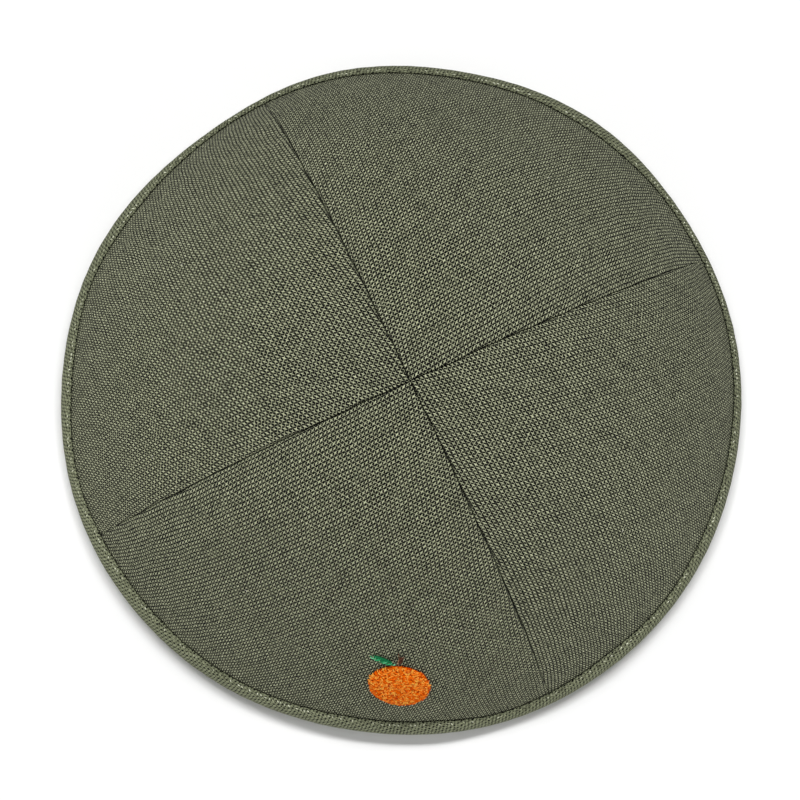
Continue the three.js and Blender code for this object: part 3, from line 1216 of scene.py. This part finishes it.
@dataclass
class Fruit(Embroidery):
    """The round fruit, filled with short stitches that run every way."""

    pitch: float = 0.52
    stitch_length: float = 1.25
    layers: int = 2
    layer_height: float = 0.13
    jitter: float = 0.4  # a share of the pitch
    swirl_size: float = 2.2
    hem_spread: float = 0.9  # past it the stitches follow the outline
    full_spread: float = 0.985
    painted_highlight_share: float = 0.09

    def form(self) -> StitchForm:
        """Gives a short soft stitch."""
        return StitchForm(length=self.stitch_length, width=0.27, height=0.26, dip=0.12, bend=0.13)

    def fill(self) -> list[tuple[Matrix, float]]:
        """Lays two layers of stitches over the pad, and turns those at its outline along it.

        Returns:
            Each stitch's matrix and tone.
        """
        rng = random.Random(self.seed)
        seats = []
        across, down = int(self.length / self.pitch) + 2, int(self.width / self.pitch) + 2
        for layer in range(self.layers):
            for column in range(-across, across + 1):
                for row in range(-down, down + 1):
                    x = (column + 0.5 * (row % 2) + rng.uniform(-self.jitter, self.jitter)) * self.pitch
                    y = (row + 0.37 * layer + rng.uniform(-self.jitter, self.jitter)) * self.pitch
                    spread = self.spread(x, y)
                    if spread > self.full_spread:
                        continue
                    swirl = noise.noise(Vector((x / self.swirl_size, y / self.swirl_size, 2.3 + layer)))
                    direction = math.pi * (3 * swirl + rng.gauss(0, 0.3))
                    if spread > self.hem_spread:
                        direction = math.atan2(y * self.length**2, x * self.width**2)
                        direction += rng.gauss(0, 0.35) + (math.pi / 2 if rng.random() < 0.5 else 0)
                    length = rng.uniform(0.65, 1.15) * (0.8 if spread > self.hem_spread else 1)
                    lift = 0.02 + self.layer_height * layer + rng.uniform(-0.05, 0.07)
                    size = Matrix.Diagonal((length, rng.uniform(0.85, 1.15), 1, 1))
                    tilt = Matrix.Rotation(rng.gauss(0, 0.05), 4, "Y")
                    # Random tones, the lower layer drawn darker as painted shade, and a share of stitches
                    # given the lightest tone as painted highlights
                    tone = min(0.9, max(0.0, rng.gauss(0.36 + 0.2 * layer, 0.32)))
                    if rng.random() < self.painted_highlight_share:
                        tone = 1.0
                    seats.append((self.seat(x, y, lift, direction) @ tilt @ size, tone))
        return seats


@dataclass
class Leaf(Embroidery):
    """The leaf, satin stitched from side to side."""

    count: int = 13
    slant: float = 56.0
    loop_turn: float = 34.0  # how much further every third stitch turns

    def form(self) -> StitchForm:
        """Gives a stitch as long as the leaf is wide."""
        return StitchForm(length=self.width * 1.05, width=0.3, height=0.28, dip=0.12, bend=0.1)

    def fill(self) -> list[tuple[Matrix, float]]:
        """Lays slanted stitches side by side along the leaf.

        Returns:
            Each stitch's matrix and tone.
        """
        rng = random.Random(self.seed)
        seats = []
        for n in range(self.count):
            share = (n + 0.5) / self.count * 2 - 1
            x = share * self.length / 2 * 0.96
            span = math.sqrt(max(0.05, 1 - share * share)) * rng.uniform(0.92, 1.12)
            turn = self.slant + rng.gauss(0, 7) + (self.loop_turn if n % 3 == 1 else 0)
            direction = math.radians(turn)
            size = Matrix.Diagonal((max(0.4, span), rng.uniform(0.85, 1.15), 1, 1))
            seat = self.seat(x, rng.uniform(-0.12, 0.12), 0.05 + 0.12 * (n % 2), direction)
            # The first stitch takes the lightest tone, a painted highlight
            seats.append((seat @ size, 1.0 if n == 0 else rng.uniform(0.1, 0.9)))
        return seats


@dataclass
class Stem(Embroidery):
    """The short stem, a few strands side by side that spread at the top."""

    strands: tuple[tuple[float, float, float, float], ...] = (
        (-0.5, 0.42, 8, 1.0), (0.3, 0.1, -4, 0.35), (0.2, -0.35, -12, 0.2), (0.9, -0.1, -30, 0.5),
        (-0.1, 0.1, 3, 0.1), (0.9, 0.45, 26, 0.3),
    )  # place along the stem and across it, turn and tone

    def form(self) -> StitchForm:
        """Gives a strand as long as the stem."""
        return StitchForm(length=self.length * 0.8, width=0.24, height=0.24, dip=0.1, bend=0.12)

    def fill(self) -> list[tuple[Matrix, float]]:
        """Lays the strands along the stem, the one at its lower left light.

        Returns:
            Each strand's matrix and tone.
        """
        rng = random.Random(self.seed)
        seats = []
        for x, y, turn, tone in self.strands:
            seat = self.seat(x, y, 0.05 + rng.uniform(0, 0.15), math.radians(turn))
            size = Matrix.Diagonal((0.7 if tone == 1.0 else rng.uniform(0.6, 0.95), 1, 1, 1))
            seats.append((seat @ size, tone))
        return seats


@dataclass
class Cap:
    """The whole cap, from its gores to its embroidery."""

    crown: Crown = field(default_factory=Crown)
    seams: tuple[tuple[float, str, float], ...] = (
        (24.7, "panel_back", -1.0), (115.1, "panel_left", 4.0), (204.5, "panel_front", -6.0),
        (296.0, "panel_right", -1.0),
    )
    fruit_azimuth: float = 268.7
    fruit_above_edge: float = 27.5
    fruit_width: float = 14.8
    fruit_height: float = 16.6
    fruit_tilt: float = 22.0
    leaf_length: float = 7.0
    leaf_width: float = 1.35
    leaf_tilt: float = 157.0
    stem_length: float = 4.0
    stem_width: float = 1.4
    stem_tilt: float = 80.0
    stitch_gap: float = 0.4
    fruit_raised: float = 0.45

    def build(self) -> None:
        """Builds and dresses every piece of the cap."""
        # Linen: flax yarn, plain woven and dyed: matt threads with painted shade in the holes between them
        linen = LinenFinish("olive_linen_plain_weave").material()
        # The same linen cut on the bias and pressed into a folded band, so its holes are partly shut
        band = LinenFinish(
            "olive_linen_bias_band", thread="#989D80", warp_spacing=0.88, weft_spacing=0.66,
            warp_cover=0.74, weft_cover=0.62, painted_rib_shade=0.16,
        ).material()
        # Spun polyester sewing thread: a little lighter and smoother than the linen
        thread = YarnFinish(
            "olive_sewing_thread", light="#F2F5DC", middle="#A6AA8A", dark="#3A3B2B", roughness=0.6
        ).material()
        for (start, node, tilt), (end, _, _) in zip(self.seams, self.seams[1:] + self.seams[:1]):
            Gore(node, start, end if end > start else end + 360, tilt, self.crown).build(linen)
        Binding(self.crown).build(band, thread)
        self._embroider()

    def _embroider(self) -> None:
        """Builds the orange with its leaf and stem on the front gore, the last two set out from its top."""
        common = {"crown": self.crown, "azimuth": self.fruit_azimuth, "above_edge": self.fruit_above_edge}
        top = oval_reach(math.radians(90 - self.fruit_tilt), self.fruit_width, self.fruit_height)
        top += self.stitch_gap + self.fruit_raised
        # Rayon embroidery yarn: bright dyed filament, its stitches in random tones with painted highlights
        # on some
        Fruit(
            "embroidered_orange", "embroidered_fruit", centre=(-0.05, self.fruit_raised),
            length=self.fruit_width, width=self.fruit_height, tilt=self.fruit_tilt, **common,
        ).build(
            YarnFinish("orange_rayon_yarn", light="#FFC050", middle="#FF7800", dark="#C43C00").material(),
            Slot.FRUIT,
        )
        turn = math.radians(self.leaf_tilt)
        reach = self.leaf_length / 2
        foot = (-self.stem_width / 2 - self.stitch_gap, top + self.leaf_width / 5)
        Leaf(
            "embroidered_leaf_stitching", "embroidered_leaf",
            centre=(foot[0] + reach * math.cos(turn), foot[1] + reach * math.sin(turn)),
            length=self.leaf_length, width=self.leaf_width, tilt=self.leaf_tilt,
            rings=5, sides=32, pad_share=0.75, **common,
        ).build(
            # The same rayon in green, in random tones with its first stitch at the lightest as a painted
            # highlight
            YarnFinish("green_rayon_yarn", light="#8BE8B4", middle="#2FA668", dark="#0E4428").material(),
            Slot.LEAF,
        )
        turn = math.radians(self.stem_tilt)
        reach = self.stem_length / 2
        Stem(
            "embroidered_stem_stitching", "embroidered_stem",
            centre=(reach * math.cos(turn) - 0.4, top + reach * math.sin(turn)),
            length=self.stem_length, width=self.stem_width, tilt=self.stem_tilt,
            rings=4, sides=24, pad_share=0.5, **common,
        ).build(
            # The same rayon in brown, in single strands that look dark and dull
            YarnFinish("brown_rayon_yarn", light="#B58A66", middle="#6B4434", dark="#3A2119").material(),
            Slot.STEM,
        )


@dataclass
class Studio:
    """The pale floor, the soft lights and the camera of the photograph."""

    floor_size: float = 20000.0
    lamp_distance: float = 5000.0
    camera_distance: float = 606.0
    camera_lean: float = 4.21
    camera_lean_azimuth: float = 249.2
    lens: float = 108.0
    aim: tuple[float, float] = (0.205, -0.381)
    off_centre: tuple[float, float] = (0.76, 0.2)
    sky: float = 0.15

    def build(self) -> None:
        """Builds the floor, the lights and the camera, and sets how light turns into colours."""
        scene = bpy.context.scene
        scene.view_settings.view_transform = "Standard"
        self._floor()
        self._sky()
        self._lamp("key_from_behind", azimuth=90, elevation=60.5, size=(4600, 700), power=258)
        for name, azimuth in (("left", 175), ("right", 5)):
            self._lamp(f"side_{name}", azimuth=azimuth, elevation=61.5, size=(900, 520), power=18)
        for name, azimuth in (("left", 200), ("front", 270), ("right", -20)):
            self._lamp(f"low_fill_{name}", azimuth=azimuth, elevation=9, size=(2600, 900), power=60)
        self._camera()

    def _floor(self) -> None:
        """Builds the pale floor, which isn't part of the cap."""
        deselect()
        bpy.ops.mesh.primitive_plane_add(size=self.floor_size * MM)
        floor = bpy.context.object
        floor.name = "studio_floor"
        # Matt card: coated paper board, which the eye reads as plain white with a soft shadow
        floor.data.materials.append(BoardFinish().material())

    def _sky(self) -> None:
        """Surrounds the scene with an even white light."""
        world = bpy.data.worlds.new("studio_sky")
        world.use_nodes = True
        world.node_tree.nodes.clear()
        light = add(world.node_tree, "Background", (1, 1, 1, 1), self.sky)
        add(world.node_tree, "OutputWorld", light)
        bpy.context.scene.world = world

    def _lamp(
        self, name: str, azimuth: float, elevation: float, size: tuple[float, float], power: float
    ) -> None:
        """Adds a soft rectangular lamp that faces the cap.

        Args:
            name: The lamp's name.
            azimuth: Where it stands round the cap.
            elevation: How high it stands above the floor, as an angle.
            size: Its width and height.
            power: Its power in watts.
        """
        away = outward(azimuth, elevation)
        data = bpy.data.lights.new(name, "AREA")
        data.shape = "RECTANGLE"
        data.size, data.size_y = size[0] * MM, size[1] * MM
        data.energy = power
        lamp = bpy.data.objects.new(name, data)
        lamp.location = away * self.lamp_distance * MM
        lamp.rotation_euler = away.to_track_quat("Z", "Y").to_euler()
        bpy.context.collection.objects.link(lamp)

    def _camera(self) -> None:
        """Places the camera almost straight above the cap, leaning towards the embroidery."""
        back = outward(self.camera_lean_azimuth, 90 - self.camera_lean)
        lean = Vector((0, 0, 1)).rotation_difference(back)
        data = bpy.data.cameras.new("photo_camera")
        data.lens = self.lens
        data.sensor_width = 36
        data.clip_start, data.clip_end = 0.01, 100
        camera = bpy.data.objects.new("photo_camera", data)
        aside = lean @ Vector((-self.off_centre[0], -self.off_centre[1], 0))
        place = Vector((*self.aim, 0)) + back * self.camera_distance + aside
        camera.matrix_world = Matrix.LocRotScale(place * MM, lean, None)
        bpy.context.collection.objects.link(camera)
        bpy.context.scene.camera = camera


def main() -> None:
    """Builds the cap and its studio, in order."""
    logging.basicConfig(level=logging.INFO, format="%(name)s: %(message)s")
    Cap().build()
    Studio().build()


if __name__ == "__main__":
    main()
